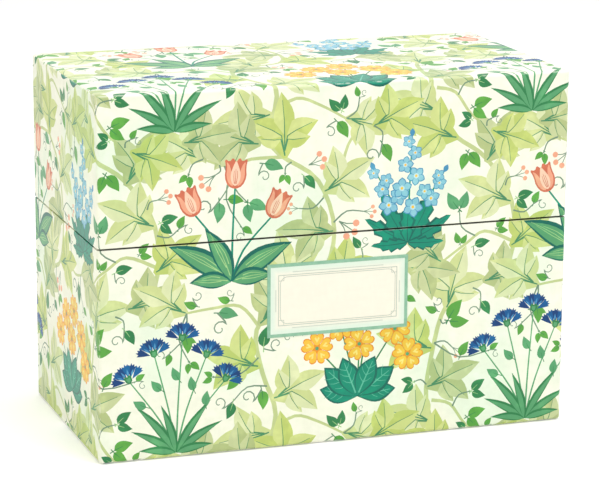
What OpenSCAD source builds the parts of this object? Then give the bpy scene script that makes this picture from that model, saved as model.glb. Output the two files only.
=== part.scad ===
// Card box with a flip-top lid: folded board trays covered in paper, a creased neck inside the base
// that the lid closes over, paper hinge strips, and sections of cards behind tabbed dividers.
// Front is -Y, X runs across the front, Z is up. The box stands on Z = 0 with its middle at the origin.

/* [Box] */
// Outer depth of the closed box, front to back
box_d = 89; // [70:0.5:160]
// Finger room between the cards and the neck, on each side
side_room = 4.9; // [2:0.1:12]
// Room between the tabs and the lining of the lid, with the cards upright
head_room = 9.45; // [5:0.05:20]
// How far the cards stand up out of the base when the lid is open
card_reveal = 29.35; // [15:0.05:45]
// Rounding of the outside edges
edge_r = 1.2; // [0.8:0.1:2]

/* [Board and paper] */
// Thickness of the board of both trays
board_t = 2; // [1.4:0.1:3]
// Thickness of the printed wrap with its glue
wrap_t = 0.25; // [0.15:0.05:0.4]
// Thickness of the plain lining paper
lining_t = 0.25; // [0.15:0.05:0.4]
// How far the wrap turns in over each rim
turn_in = 18; // [13:1:28]
// How far the base wrap turns in under the floor
under_turn_in = 16; // [10:1:25]
// Thickness of the sheet on the underside
sheet_t = 0.25; // [0.15:0.05:0.4]
// Margin between the underside sheet and the outline of the box
sheet_margin = 3; // [2:0.5:6]
// Reach of a corner tape along each wall
stay_w = 14; // [8:1:20]
// Thickness of a corner tape, pressed into the board
stay_t = 0.2; // [0.1:0.05:0.3]

/* [Seam and neck] */
// Gap between the rim of the base and the rim of the lid
seam_gap = 0.5; // [0.3:0.1:1]
// Height of the neck above the seam
neck_rise = 9; // [6:0.5:11]
// Thickness of the neck board
neck_t = 1.5; // [1:0.1:2]
// Thickness of the paper sleeve over the neck
sleeve_t = 0.2; // [0.1:0.05:0.3]
// Depth of the crease below the seam, where the neck starts to lean inwards
crease_drop = 8; // [6:0.5:12]
// Clearance between the neck and the lid at the seam
neck_clear = 0.4; // [0.4:0.05:0.6]
// Gap between the rear ends of the neck and the lining of the back wall
neck_rear_gap = 1; // [0.5:0.1:3]
// Length over which the side panels of the neck slope down at the rear
neck_slope = 14; // [6:1:25]

/* [Hinge] */
// Distance of the hinge strips from each side of the box
hinge_inset = 3; // [2.5:0.5:10]
// Height of each leaf of the outer hinge strip
outer_leaf_h = 20; // [12:1:30]
// Thickness of the outer hinge strip
outer_hinge_t = 0.2; // [0.15:0.05:0.3]
// Height of each leaf of the inner hinge strip
inner_leaf_h = 15; // [10:1:25]
// Thickness of the inner hinge strip
inner_hinge_t = 0.25; // [0.15:0.05:0.3]

/* [Label] */
// Width of the front label
label_w = 51.5; // [35:0.5:80]
// Height of the front label
label_h = 26; // [18:0.5:40]
// Thickness of the front label
label_t = 0.2; // [0.1:0.05:0.3]
// Distance of the label's top edge below the seam
label_drop = 9.4; // [5:0.2:14]

/* [Cards and dividers] */
// Width of a card
card_w = 152.4; // [127:0.1:210]
// Height of a card
card_h = 101.6; // [90:0.1:150]
// Thickness of a card
card_t = 0.35; // [0.25:0.05:0.4]
// Air between two cards in a pack
card_air = 0.05; // [0.04:0.01:0.08]
// Cards behind each divider
cards_per_pack = 8; // [3:1:10]
// Thickness of a divider
divider_t = 0.5; // [0.35:0.05:0.6]
// Height of a divider's tab above its cards
tab_h = 11; // [8:0.5:16]
// Gap between the tabs of two neighbouring dividers, seen from the front
tab_gap = 1; // [0.5:0.5:4]
// Rounding of a tab's upper corners
tab_r = 3; // [1:0.5:5]
// Angle at which the sections lean back
lean = 3; // [1:0.5:5]
// Gap between one section and the next
section_gap = 0.35; // [0.3:0.05:0.6]
// Gap under the feet of the cards, and between the last card and the back of the lid
seat_gap = 0.2; // [0.1:0.05:0.4]

/* [Hidden] */
$fn = 32;

// Overrun of every cut past the surface that it opens
cut = 1;
// There is one section for each divider in the list of nodes
sections = 6;

// The box is sized round its cards: outer width and height when closed
skin_t = max(wrap_t, lining_t);
floor_top = sheet_t + wrap_t + board_t + lining_t;
foot_z = floor_top + seat_gap;
box_w = card_w + 2 * (side_room + neck_t + 2 * sleeve_t + skin_t + board_t + wrap_t);
box_h = foot_z + card_h + tab_h + head_room + lining_t + board_t + wrap_t;
// Height of the seam between base and lid
seam_z = foot_z + card_h - card_reveal;

// Rims of the base and of the lid, either side of the seam
base_rim = seam_z - seam_gap / 2;
lid_rim = seam_z + seam_gap / 2;
// Depth of each covered tray, from its rim to the outside of its closed end
base_depth = base_rim - sheet_t;
lid_depth = box_h - lid_rim;
// Inside of the board walls, and the face of the lined back wall
inner_w = box_w - 2 * (wrap_t + board_t);
inner_d = box_d - 2 * (wrap_t + board_t);
back_face = inner_d / 2 - max(skin_t, inner_hinge_t);
// Hinge strips end short of the sides
hinge_w = box_w - 2 * hinge_inset;

// The neck: outline of its board on the straight part, its levels, and its lean per unit of height
neck_w = inner_w - 2 * (skin_t + sleeve_t);
neck_d = inner_d - 2 * (skin_t + sleeve_t);
neck_top = seam_z + neck_rise;
crease_z = seam_z - crease_drop;
neck_lean = neck_clear / crease_drop;
neck_rear = inner_d / 2 - skin_t - neck_rear_gap;

// The sections: thickness of a pack with its divider, and where each divider's foot stands
pack_t = divider_t + cards_per_pack * (card_t + card_air);
section_pitch = (pack_t + section_gap) / cos(lean);
rear_foot = back_face - seat_gap - card_h * sin(lean);
last_foot = rear_foot - pack_t / cos(lean);
tab_pitch = card_w / sections;
function foot_y(section) = last_foot - (sections - section) * section_pitch;

// Outline with four rounded corners, centred
module round_rect(w, d, r) {
    square([w - 2 * r, d], center = true);
    square([w, d - 2 * r], center = true);
    for (x = [-1, 1], y = [-1, 1])
        translate([x * (w / 2 - r), y * (d / 2 - r)])
            circle(r);
}

// Outline that hangs below its rim at 0, with its two lower corners rounded
module end_profile(w, depth, r) {
    translate([-w / 2, r - depth])
        square([w, depth - r]);
    translate([r - w / 2, -depth])
        square([w - 2 * r, depth]);
    for (x = [-1, 1])
        translate([x * (w / 2 - r), r - depth])
            circle(r);
}

// Solid below a flat rim at Z = 0, with every edge rounded but those of the rim
module round_block(w, d, depth, r) {
    intersection() {
        translate([0, 0, -depth])
            linear_extrude(depth)
                round_rect(w, d, r);
        rotate([90, 0, 0])
            linear_extrude(d, center = true)
                end_profile(w, depth, r);
        rotate([90, 0, 90])
            linear_extrude(w, center = true)
                end_profile(d, depth, r);
    }
}

// Upright block between two levels, centred on the box
module block(w, d, low, high) {
    translate([-w / 2, -d / 2, low])
        cube([w, d, high - low]);
}

// The trays below are drawn with their rim at Z = 0 and their closed end down.

// Outside of the board of a tray, taken in by a skin
module board_outside(depth, skin) {
    translate([0, 0, -wrap_t])
        round_block(
            box_w - 2 * (wrap_t + skin),
            box_d - 2 * (wrap_t + skin),
            depth - 2 * wrap_t - skin,
            edge_r - wrap_t - skin
        );
}

// Paper tapes over the four folded corners
module corner_stays(depth) {
    intersection() {
        difference() {
            board_outside(depth, 0);
            block(box_w, box_d, -2 * depth, edge_r - depth);
            linear_extrude(4 * depth, center = true)
                round_rect(
                    box_w - 2 * (wrap_t + stay_t),
                    box_d - 2 * (wrap_t + stay_t),
                    edge_r - wrap_t - stay_t
                );
        }
        for (x = [-1, 1], y = [-1, 1])
            translate([x * box_w / 2, y * box_d / 2, 0])
                block(2 * stay_w, 2 * stay_w, -depth, 0);
    }
}

// Folded board tray, with room for its corner tapes
module tray(depth) {
    difference() {
        board_outside(depth, 0);
        block(inner_w, inner_d, wrap_t + board_t - depth, cut);
        corner_stays(depth);
    }
}

// Room for the inner hinge strip over the rim and down the inside of the back wall
module inner_hinge_room() {
    translate([-hinge_w / 2, inner_d / 2 - skin_t - cut, -inner_leaf_h])
        cube([hinge_w, skin_t + cut, inner_leaf_h + cut]);
    translate([-hinge_w / 2, inner_d / 2 - cut, -wrap_t])
        cube([hinge_w, box_d / 2 - inner_d / 2 + 2 * cut, wrap_t + cut]);
}

// Printed paper over the outside of a tray, over its rim and down the inside
module wrap(depth, end_open) {
    difference() {
        union() {
            difference() {
                round_block(box_w, box_d, depth, edge_r);
                board_outside(depth, 0);
                block(inner_w - 2 * wrap_t, inner_d - 2 * wrap_t, -cut, cut);
                if (end_open)
                    block(box_w - 2 * under_turn_in, box_d - 2 * under_turn_in, -depth - cut, -cut);
            }
            difference() {
                block(inner_w, inner_d, -turn_in, 0);
                block(inner_w - 2 * wrap_t, inner_d - 2 * wrap_t, -turn_in - cut, cut);
            }
        }
        inner_hinge_room();
    }
}

// Plain paper on the inside of a tray, from the closed end to the turned-in wrap
module lining(depth) {
    end = wrap_t + board_t - depth;
    difference() {
        block(inner_w, inner_d, end, -turn_in);
        block(inner_w - 2 * lining_t, inner_d - 2 * lining_t, end + lining_t, cut);
        inner_hinge_room();
    }
}

// Leaf of the hinge strip on the outside of the back
module outer_leaf() {
    translate([-hinge_w / 2, box_d / 2, -outer_leaf_h])
        cube([hinge_w, outer_hinge_t, outer_leaf_h]);
}

// Leaf of the hinge strip on the inside of the back, bent over the rim as far as the crease
module inner_leaf() {
    translate([-hinge_w / 2, inner_d / 2 - inner_hinge_t, -inner_leaf_h])
        cube([hinge_w, inner_hinge_t, inner_leaf_h - wrap_t + inner_hinge_t]);
    translate([-hinge_w / 2, inner_d / 2 - inner_hinge_t, -wrap_t])
        cube([hinge_w, box_d / 2 - inner_d / 2 + inner_hinge_t, inner_hinge_t]);
}

// Places a tray of the base, and a tray of the lid
module in_base() {
    translate([0, 0, base_rim])
        children();
}

module in_lid() {
    translate([0, 0, lid_rim])
        mirror([0, 0, 1])
            children();
}

// Block whose four sides lean inwards by the same amount from its foot to its top
module leaning_block(w, d, low, high, inward) {
    points = [
        for (level = [0, 1], corner = [[-1, -1], [1, -1], [1, 1], [-1, 1]])
            [
                corner[0] * (w / 2 - level * inward),
                corner[1] * (d / 2 - level * inward),
                level ? high : low
            ]
    ];
    faces = [
        [0, 1, 2, 3],
        [7, 6, 5, 4],
        [4, 5, 1, 0],
        [5, 6, 2, 1],
        [6, 7, 3, 2],
        [7, 4, 0, 3]
    ];
    polyhedron(points, faces);
}

// Straight to the crease and leaning inwards above it, and running on past the back of the box
module neck_outside(grow, foot, top) {
    w = neck_w + 2 * grow;
    d = neck_d + 2 * grow + box_d;
    translate([0, box_d / 2, 0]) {
        block(w, d, foot, crease_z);
        leaning_block(w, d, crease_z, top, neck_lean * (top - crease_z));
    }
}

// Neck strip round the front and the sides, open at the back and sloped down there, grown all over by a skin
module neck(grow, foot) {
    top = neck_top + grow;
    rear = neck_rear + grow;
    difference() {
        neck_outside(grow, foot, top);
        neck_outside(-neck_t - grow, foot - cut, top + cut);
        translate([-box_w / 2, rear, foot - cut])
            cube([box_w, 2 * box_d, top - foot + 2 * cut]);
        rotate([90, 0, 90])
            linear_extrude(box_w, center = true)
                polygon([
                    [rear, seam_z + grow],
                    [rear + cut, seam_z + grow],
                    [rear + cut, top + cut],
                    [rear - neck_slope * (neck_rise + cut) / neck_rise, top + cut]
                ]);
    }
}

// Card or divider standing at the foot of a section, set back by its depth in the pack
module standing(section, depth_in_pack) {
    translate([0, foot_y(section) + depth_in_pack / cos(lean), foot_z])
        rotate([-lean, 0, 0])
            children();
}

module divider(section) {
    standing(section, 0)
        translate([0, divider_t, 0])
            rotate([90, 0, 0])
                linear_extrude(divider_t) {
                    translate([-card_w / 2, 0])
                        square([card_w, card_h]);
                    translate([(section - 1 / 2) * tab_pitch - card_w / 2, card_h])
                        mirror([0, 1])
                            end_profile(tab_pitch - tab_gap, tab_h, tab_r);
                }
}

module card_pack(section) {
    for (card = [0 : cards_per_pack - 1])
        standing(section, divider_t + card_air + card * (card_t + card_air))
            translate([-card_w / 2, 0, 0])
                cube([card_w, card_t, card_h]);
}

module base_tray() {
    color("#8f8c84")
        in_base()
            tray(base_depth);
}

module base_corner_stays() {
    color("#c9a877")
        in_base()
            corner_stays(base_depth);
}

module base_wrap() {
    color("#e9efd3")
        in_base()
            wrap(base_depth, true);
}

module base_bottom_sheet() {
    color("#f2efe2")
        union() {
            block(box_w - 2 * sheet_margin, box_d - 2 * sheet_margin, 0, sheet_t);
            block(box_w - 2 * under_turn_in, box_d - 2 * under_turn_in, 0, sheet_t + wrap_t);
        }
}

module base_lining() {
    color("#f5f1e2")
        in_base()
            lining(base_depth);
}

module neck_board() {
    color("#a19d93")
        neck(0, floor_top);
}

module neck_sleeve() {
    color("#f3efdf")
        difference() {
            neck(sleeve_t, floor_top);
            neck(0, floor_top - cut);
        }
}

module front_label() {
    color("#9fc9ae")
        translate([-label_w / 2, -box_d / 2 - label_t, seam_z - label_drop - label_h])
            cube([label_w, label_t, label_h]);
}

module outer_hinge_base_leaf() {
    color("#dfe8c6")
        in_base()
            outer_leaf();
}

module inner_hinge_base_leaf() {
    color("#efe9d6")
        in_base()
            inner_leaf();
}

module lid_tray() {
    color("#8f8c84")
        in_lid()
            tray(lid_depth);
}

module lid_corner_stays() {
    color("#c9a877")
        in_lid()
            corner_stays(lid_depth);
}

module lid_wrap() {
    color("#e4ecc9")
        in_lid()
            wrap(lid_depth, false);
}

module lid_lining() {
    color("#f5f1e2")
        in_lid()
            lining(lid_depth);
}

module outer_hinge_lid_leaf() {
    color("#dfe8c6")
        in_lid()
            outer_leaf();
}

module inner_hinge_lid_leaf() {
    color("#efe9d6")
        in_lid()
            inner_leaf();
}

module tinted_divider(section) {
    tints = ["#a9c7a0", "#f1cf7c", "#efb3a0", "#a9cfe0", "#7fb8a4", "#d6dda3"];
    color(tints[section - 1])
        divider(section);
}

module ivory_card_pack(section) {
    color("#f8f5e8")
        card_pack(section);
}

base_tray();
base_corner_stays();
base_wrap();
base_bottom_sheet();
base_lining();
neck_board();
neck_sleeve();
front_label();
outer_hinge_base_leaf();
inner_hinge_base_leaf();
lid_tray();
lid_corner_stays();
lid_wrap();
lid_lining();
outer_hinge_lid_leaf();
inner_hinge_lid_leaf();
tinted_divider(1);  // divider_1
tinted_divider(2);  // divider_2
tinted_divider(3);  // divider_3
tinted_divider(4);  // divider_4
tinted_divider(5);  // divider_5
tinted_divider(6);  // divider_6
ivory_card_pack(1);  // card_pack_1
ivory_card_pack(2);  // card_pack_2
ivory_card_pack(3);  // card_pack_3
ivory_card_pack(4);  // card_pack_4
ivory_card_pack(5);  // card_pack_5
ivory_card_pack(6);  // card_pack_6
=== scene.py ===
import math

import bmesh
import bpy
import numpy as np
from mathutils import Matrix, Vector
from mathutils.geometry import delaunay_2d_cdt


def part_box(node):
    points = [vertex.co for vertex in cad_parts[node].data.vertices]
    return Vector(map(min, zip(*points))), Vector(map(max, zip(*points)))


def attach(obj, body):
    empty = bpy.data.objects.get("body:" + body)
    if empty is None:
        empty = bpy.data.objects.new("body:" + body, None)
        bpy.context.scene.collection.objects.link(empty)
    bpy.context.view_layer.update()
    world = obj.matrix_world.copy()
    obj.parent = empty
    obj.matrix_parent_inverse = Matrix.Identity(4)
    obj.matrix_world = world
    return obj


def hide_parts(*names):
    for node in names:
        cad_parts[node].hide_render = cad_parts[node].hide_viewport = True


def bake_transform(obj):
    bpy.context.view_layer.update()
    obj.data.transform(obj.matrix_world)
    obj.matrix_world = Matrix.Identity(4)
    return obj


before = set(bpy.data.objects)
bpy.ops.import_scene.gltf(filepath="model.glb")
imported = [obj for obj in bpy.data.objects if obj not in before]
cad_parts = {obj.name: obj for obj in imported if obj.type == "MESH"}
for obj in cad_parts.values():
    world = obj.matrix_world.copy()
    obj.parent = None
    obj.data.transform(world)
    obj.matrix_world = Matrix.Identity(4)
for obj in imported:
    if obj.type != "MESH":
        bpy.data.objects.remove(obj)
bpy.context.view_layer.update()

MM = 0.001

# The closed box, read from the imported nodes, in metres
wrap_low, wrap_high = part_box("base_wrap")
lid_low, lid_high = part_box("lid_wrap")
_, lining_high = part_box("base_lining")
board_low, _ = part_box("base_tray")
BOX_W = wrap_high.x - wrap_low.x
BOX_D = wrap_high.y - wrap_low.y
BASE_RIM = wrap_high.z
LID_RIM = lid_low.z
SEAM = (BASE_RIM + LID_RIM) / 2
PAPER_T = board_low.z - wrap_low.z
TURN_IN = BASE_RIM - lining_high.z
# Board and paper of a wall together
WALL_T = BOX_W / 2 - lining_high.x + PAPER_T
# Rounding of the outside edges, and how far the base wrap turns in under the floor
EDGE_R = 1.2 * MM
UNDER_TURN_IN = 16 * MM


# One repeat of the print, in millimetres
REPEAT = np.array([130.0, 112.0])

# Inks, from 0 to 255 as a screen shows them; the first is the bare paper
INKS = dict(
    ground=(250, 251, 233),
    sage=(183, 197, 136), sage_light=(208, 219, 150), sage_fresh=(193, 209, 115),
    sage_half=(203, 213, 160), sage_light_half=(223, 231, 181), sage_fresh_half=(211, 222, 143),
    vine=(197, 210, 147), twig=(71, 140, 98), tendril=(113, 144, 120), grass=(91, 164, 67),
    leaf=(89, 162, 111), leaf_dark=(47, 128, 76), leaf_light=(162, 208, 140),
    teal=(0, 140, 113), teal_dark=(0, 102, 89), teal_light=(96, 190, 162),
    blue=(1, 88, 150), blue_dark=(0, 60, 120), blue_light=(72, 144, 194),
    yellow=(250, 198, 66), yellow_light=(255, 230, 130), orange=(236, 146, 40),
    coral=(243, 170, 138), coral_light=(253, 212, 184), coral_dark=(212, 112, 84),
    sky=(138, 199, 218), sky_light=(192, 228, 238), sky_dark=(72, 148, 190),
)


def cut_corners(points):
    """A closed outline with each corner cut once."""
    cut = []
    for (ax, ay), (bx, by) in zip(points, points[1:] + points[:1]):
        cut += [(ax * t + bx * (1 - t), ay * t + by * (1 - t)) for t in (0.75, 0.25)]
    return cut


def through(points, steps):
    """A smooth line through the given points."""
    def between(p, q, r, s, t):
        square, cube = 2 * p - 5 * q + 4 * r - s, 3 * q - p - 3 * r + s
        return 0.5 * (2 * q + (r - p) * t + square * t ** 2 + cube * t ** 3)

    ends = [points[0]] + points + [points[-1]]
    line = [
        tuple(between(*along, k / steps) for along in zip(*four))
        for four in zip(ends, ends[1:], ends[2:], ends[3:]) for k in range(steps)
    ]
    return line + [points[-1]]


def sides(x, y, dx, dy, half):
    """Points to the left and right of a line that heads along dx, dy."""
    n = math.hypot(dx, dy) or 1.0
    return (x - dy / n * half, y + dx / n * half), (x + dy / n * half, y - dx / n * half)


def ribbon(line, start, end):
    """Outline of a line drawn start wide at first and end wide at last."""
    pairs = []
    last = len(line) - 1
    for k, (x, y) in enumerate(line):
        (ax, ay), (bx, by) = line[max(k - 1, 0)], line[min(k + 1, last)]
        pairs.append(sides(x, y, bx - ax, by - ay, (start + (end - start) * (k / last)) / 2))
    left, right = zip(*pairs)
    return [*left, *right[::-1]]


def blade(length, width, bend, steps, fullness):
    """A leaf or petal that grows along Y and bends to the right."""
    pairs = []
    for k in range(steps + 1):
        t = k / steps
        half = width / 2 * math.sin(math.pi * t ** fullness)
        pairs.append(sides(bend * t * t, length * t, 2 * bend * t, length, half))
    left, right = zip(*pairs)
    return [*left[:-1], (bend, length), *right[-2:0:-1]]


def disc(radius, sides, x=0.0, y=0.0):
    turns = [2 * math.pi * k / sides for k in range(sides)]
    return [(x + radius * math.cos(turn), y + radius * math.sin(turn)) for turn in turns]


def mirrored(points):
    """A closed outline from its left half."""
    return points + [(-x, y) for x, y in points[::-1] if x]


def leaning(points, lean, hub=0.0):
    """Points along Y, turned to the right and set on a hub."""
    c, s = math.cos(math.radians(lean)), math.sin(math.radians(lean))
    return [(x * c + y * s, hub - x * s + y * c) for x, y in points]


class Drawing:
    """Flat shapes in painting order, later ones on top."""

    def __init__(self):
        self.shapes = []

    def place(self, x, y, turn=0.0, size=1.0, flip=1):
        """Where the next shapes go; flip is -1 for mirrored ones."""
        self.at = (x, y, math.radians(turn), size, flip)

    def place_leaf(self, x, y, turn, size=1.0):
        """Where a clump's next leaf goes, mirrored on the left."""
        self.place(x, y, turn, size, math.copysign(1, turn))

    def fill(self, ink, points, right=0.0, up=0.0):
        x0, y0, turn, size, flip = self.at
        c, s = math.cos(turn), math.sin(turn)
        points = [((x + right) * flip, y + up) for x, y in points]
        points = [(x0 + (x * c - y * s) * size, y0 + (x * s + y * c) * size) for x, y in points]
        self.shapes.append((ink, points))

    def line(self, ink, points, start, end, steps=2):
        self.fill(ink, ribbon(through(points, steps), start, end))


# Lobes of the big leaves: lean, reach and bend
LOBES = ((-112, 0.40, 0.15), (-58, 0.60, -0.10), (-4, 0.72, 0.08), (50, 0.62, 0.12), (104, 0.44, -0.16))
HUB = 0.30
SAGES = ("sage", "sage_light", "sage_fresh")


def sage_leaf(d, x, y, turn, length, flip, tone):
    """A vine leaf with five lobes and the veins that run into them."""
    d.place(x, y, turn, length, flip)
    outline, halves = [(0.03, -0.02), (-0.03, -0.02)], []
    for k, (lean, reach, bend) in enumerate(LOBES):
        lobe = blade(reach, 0.34 if abs(lean) < 90 else 0.27, bend, 8, 0.82)
        outline += leaning(lobe[3:7] + [lobe[8]] + lobe[10:14], lean, HUB)
        halves.append(leaning([(0, 0.04), (bend * 0.36, reach * 0.6), lobe[8]] + lobe[10:14], lean, HUB))
        if k < len(LOBES) - 1:
            outline += leaning([(0, 0.17)], (lean + LOBES[k + 1][0]) / 2, HUB)
    d.fill(SAGES[tone], outline)
    d.fill(SAGES[tone], disc(0.19, 8, 0, HUB))
    for half in halves:
        d.fill(SAGES[tone] + "_half", half)
    for lean, reach, bend in LOBES:
        tip = [(bend * t * t, reach * t) for t in (0.38, 0.82)]
        points = [(0.0, 0.02 if lean > 0 else 0.1)] + leaning([(0, 0.06)] + tip, lean, HUB)
        d.fill("twig", ribbon(points, 0.022, 0.008))


def small_leaf(d, x, y, turn, length, ink="leaf", edge="leaf_dark", flip=1):
    """A small leaf on its stalk."""
    d.place(x, y, turn, length, flip)
    d.fill(ink, blade(0.94, 0.56, 0.2, 7, 0.72), up=0.08)
    d.fill(edge, ribbon([(0, -0.16), (0.01, 0.2), (0.06, 0.52)], 0.055, 0.02))


def curl(d, x, y, turn, size, flip):
    """A tendril that ends in a spiral."""
    d.place(x, y, turn, size, flip)
    coil = [(0.42 - 0.03 * k, 0.62 * k + 2.6) for k in range(1, 12)]
    coil = [(radius * math.cos(a) + 0.2, radius * math.sin(a) + 0.75) for radius, a in coil]
    d.fill("tendril", ribbon([(0, 0), (-0.1, 0.3), (-0.17, 0.55)] + coil, 0.075, 0.05))


def berries(d, x, y, turn, size):
    """Three berries on a fork."""
    d.place(x, y, turn, size)
    for bx, by in ((0, 6.5), (-2.6, 5.2), (2.6, 5.0)):
        d.line("tendril", [(0, 0), (bx * 0.3, by * 0.5), (bx, by)], 0.4, 0.3)
        d.fill("coral", disc(1.15, 8, bx, by))


def stem(d, points, ink, start, end, steps=4):
    d.place(0, 0)
    d.line(ink, points, start, end, steps)


def stems(d, x, y, size, heads, bow_x, bow_y, *look, foot=0):
    """Bowed stems from the foot of a clump to its heads."""
    for hx, hy, *_ in heads:
        bow = (x + hx * bow_x * size, y + hy * bow_y * size)
        stem(d, [(x, y + foot), bow, (x + hx * size, y + hy * size)], *look)


def fan_bloom(d, x, y, turn, size):
    """A frilled bloom from the side, fanned out of a green cup."""
    d.place(x, y, turn, size)
    petal = [(0, 1.2), (-0.75, 3.2), (-1.25, 5.0), (-0.55, 4.7), (-0.30, 5.6), (0.1, 4.9), (0.6, 5.4),
             (0.75, 4.6), (1.25, 4.9), (0.75, 3.2)]
    for k, lean in enumerate((-62, -34, 34, 62, -12, 12)):
        d.fill(("blue_dark", "blue")[k % 2], leaning(petal, lean))
    for lean in (-40, -14, 14, 40):
        d.fill("blue_light", leaning(mirrored([(0, 1.6), (-0.3, 2.8), (0, 4.0)]), lean))
    d.fill("leaf_dark", [(-1.15, 1.6), (-0.9, 0.2), (0, -0.5), (0.9, 0.2), (1.15, 1.6), (0.5, 2.1), (0, 1.7),
                         (-0.5, 2.1)])
    d.fill("leaf", [(-0.6, 1.3), (-0.5, 0.3), (0, 0.0), (0.5, 0.3), (0.6, 1.3)])


def heart_petal(length, width, notch):
    """A rounded petal with a notch in its tip."""
    half = [(0, 0), (-0.22, 0.3), (-0.55, 0.68), (-0.42, 1.02), (-0.12, 1.04), (0, 1 - notch)]
    return cut_corners(mirrored([(width * x, length * y) for x, y in half]))


def round_bloom(d, x, y, turn, size):
    """An open bloom with five notched petals."""
    for k in range(5):
        d.place(x, y, turn + 72 * k, size)
        d.fill("orange", heart_petal(4.4, 4.0, 0.16))
        d.fill("yellow", heart_petal(4.0, 3.4, 0.2), up=0.12)
        d.fill("yellow_light", mirrored([(0, 1.6), (-0.75, 2.9), (-0.35, 3.3), (0, 2.5)]))
    d.place(x, y, turn, size)
    eye = [(1.5 if k % 2 else 0.85, math.pi * k / 5) for k in range(9, -1, -1)]
    d.fill("orange", [(radius * math.sin(a), radius * math.cos(a)) for radius, a in eye])
    d.fill("leaf", disc(0.55, 8))


def cup_bloom(d, x, y, turn, size):
    """A tulip-like cup from the side."""
    d.place(x, y, turn, size)
    outer = [(0, -0.3), (-2.2, 0.6), (-3.3, 3.2), (-3, 6), (-3.5, 8.6), (-1.9, 7.6), (-1, 8.9), (0, 7.4)]
    flank = [(0.4, 0.4), (1.9, 1.2), (2.8, 3.4), (2.6, 6.0), (2.9, 7.8), (1.7, 6.4), (1.1, 3.4)]
    middle = [(0, 0.4), (-1.3, 1.8), (-1.55, 4.2), (-0.7, 6.6), (0, 8.1)]
    d.fill("coral_dark", cut_corners(mirrored(outer)))
    d.fill("coral", cut_corners([(-px, py) for px, py in flank]))
    d.fill("coral", cut_corners(flank[::-1]))
    d.fill("coral_light", cut_corners(mirrored(middle)))
    for side in (-0.55, 0, 0.55):
        d.line("coral_dark", [(side * 0.5, 1.3), (side, 3.4), (side * 0.8, 5.6 - abs(side))], 0.2, 0.12)


def star_bloom(d, x, y, turn, size):
    """A floret with five pointed petals."""
    for k in range(5):
        d.place(x, y, turn + 72 * k, size)
        d.fill("sky_dark", blade(2.9, 2.3, 0, 5, 1.25))
        d.fill("sky", blade(2.5, 1.8, 0, 5, 1.25), up=0.1)
    d.place(x, y, turn, size)
    d.fill("sky_light", disc(0.8, 7))
    d.fill("yellow", disc(0.42, 6))


def toothed_leaf(d, length, width):
    """A ground leaf with a saw-toothed edge."""
    bend, teeth = 0.12, 4

    def outline(scale):
        left, right = [], []
        for k in range(teeth):
            for t, reach in (((k + 0.1) / teeth, 0.62), ((k + 0.8) / teeth, 1.0)):
                half = width / 2 * math.sin(math.pi * (0.1 + 0.86 * t) ** 0.9) * reach * scale
                px, py = bend * length * t * t, length * t * 0.96 + half * 0.25
                left.append((px - half, py))
                right.append((px + half, py))
        return [(0, 0)] + left + [(bend * length, length)] + right[::-1]

    d.fill("teal_dark", outline(1.0))
    d.fill("teal", outline(0.72), -0.1, 0.3)
    rib = [(0, 0.6), (bend * length * 0.25, length * 0.5), (bend * length * 0.8, length * 0.9)]
    d.line("teal_dark", rib, 0.4, 0.12)


def blue_sprig(d, x, y, size):
    """Frilled blue blooms on thin stems over narrow leaves."""
    heads = [(-13.5, 22.0, 26), (-6.2, 29.0, 12), (2.0, 33.0, -3), (9.0, 27.5, -15), (14.5, 20.0, -30)]
    leaves = ((52, 15), (-50, 16), (30, 19), (-26, 18), (8, 15), (-72, 11), (74, 11))
    stems(d, x, y, size, heads, 0.35, 0.45, "leaf", 0.7, 0.42)
    for turn, length in leaves:
        d.place_leaf(x, y, turn, size)
        d.fill("leaf_dark", blade(length, 2.6, -length * 0.16, 7, 0.75))
        d.fill("leaf", blade(length * 0.94, 1.5, -length * 0.15, 7, 0.75), -0.15)
    for hx, hy, lean in heads:
        small_leaf(d, x + hx * 0.62 * size, y + hy * 0.64 * size, lean * 1.2 + 42, 4.6 * size)
        fan_bloom(d, x + hx * size, y + hy * size, lean, 1.02 * size)


def yellow_clump(d, x, y, size):
    """Open yellow blooms over a ring of broad leaves."""
    heads = [(-12.5, 15.5), (-5.5, 22.0), (3.5, 25.0), (11.5, 19.5), (15.5, 11.5), (0.5, 15.8)]
    stems(d, x, y, size, heads, 0.5, 0.55, "leaf_dark", 0.7, 0.45, foot=2)
    for turn, length in ((78, 12), (-80, 12), (50, 14), (-52, 14), (24, 13), (-22, 13)):
        d.place(x, y, turn, size)
        d.fill("teal_dark", blade(length, length * 0.52, length * 0.05, 9, 1.05))
        d.fill("teal", blade(length * 0.93, length * 0.42, length * 0.05, 9, 1.05), -0.1, 0.2)
        rib = [(0, 1.2), (length * 0.02, length * 0.5), (length * 0.04, length * 0.86)]
        d.line("teal_light", rib, 0.5, 0.16)
        for t in (0.35, 0.52, 0.68):
            for side in (-1, 1):
                vein = [(0.1, length * t), (side * length * 0.09, length * (t + 0.07)),
                        (side * length * 0.155, length * (t + 0.16))]
                d.line("teal_light", vein, 0.22, 0.08, steps=1)
    for k, (hx, hy) in enumerate(heads):
        round_bloom(d, x + hx * size, y + hy * size, 17 * k, 1.05 * size)


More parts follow.
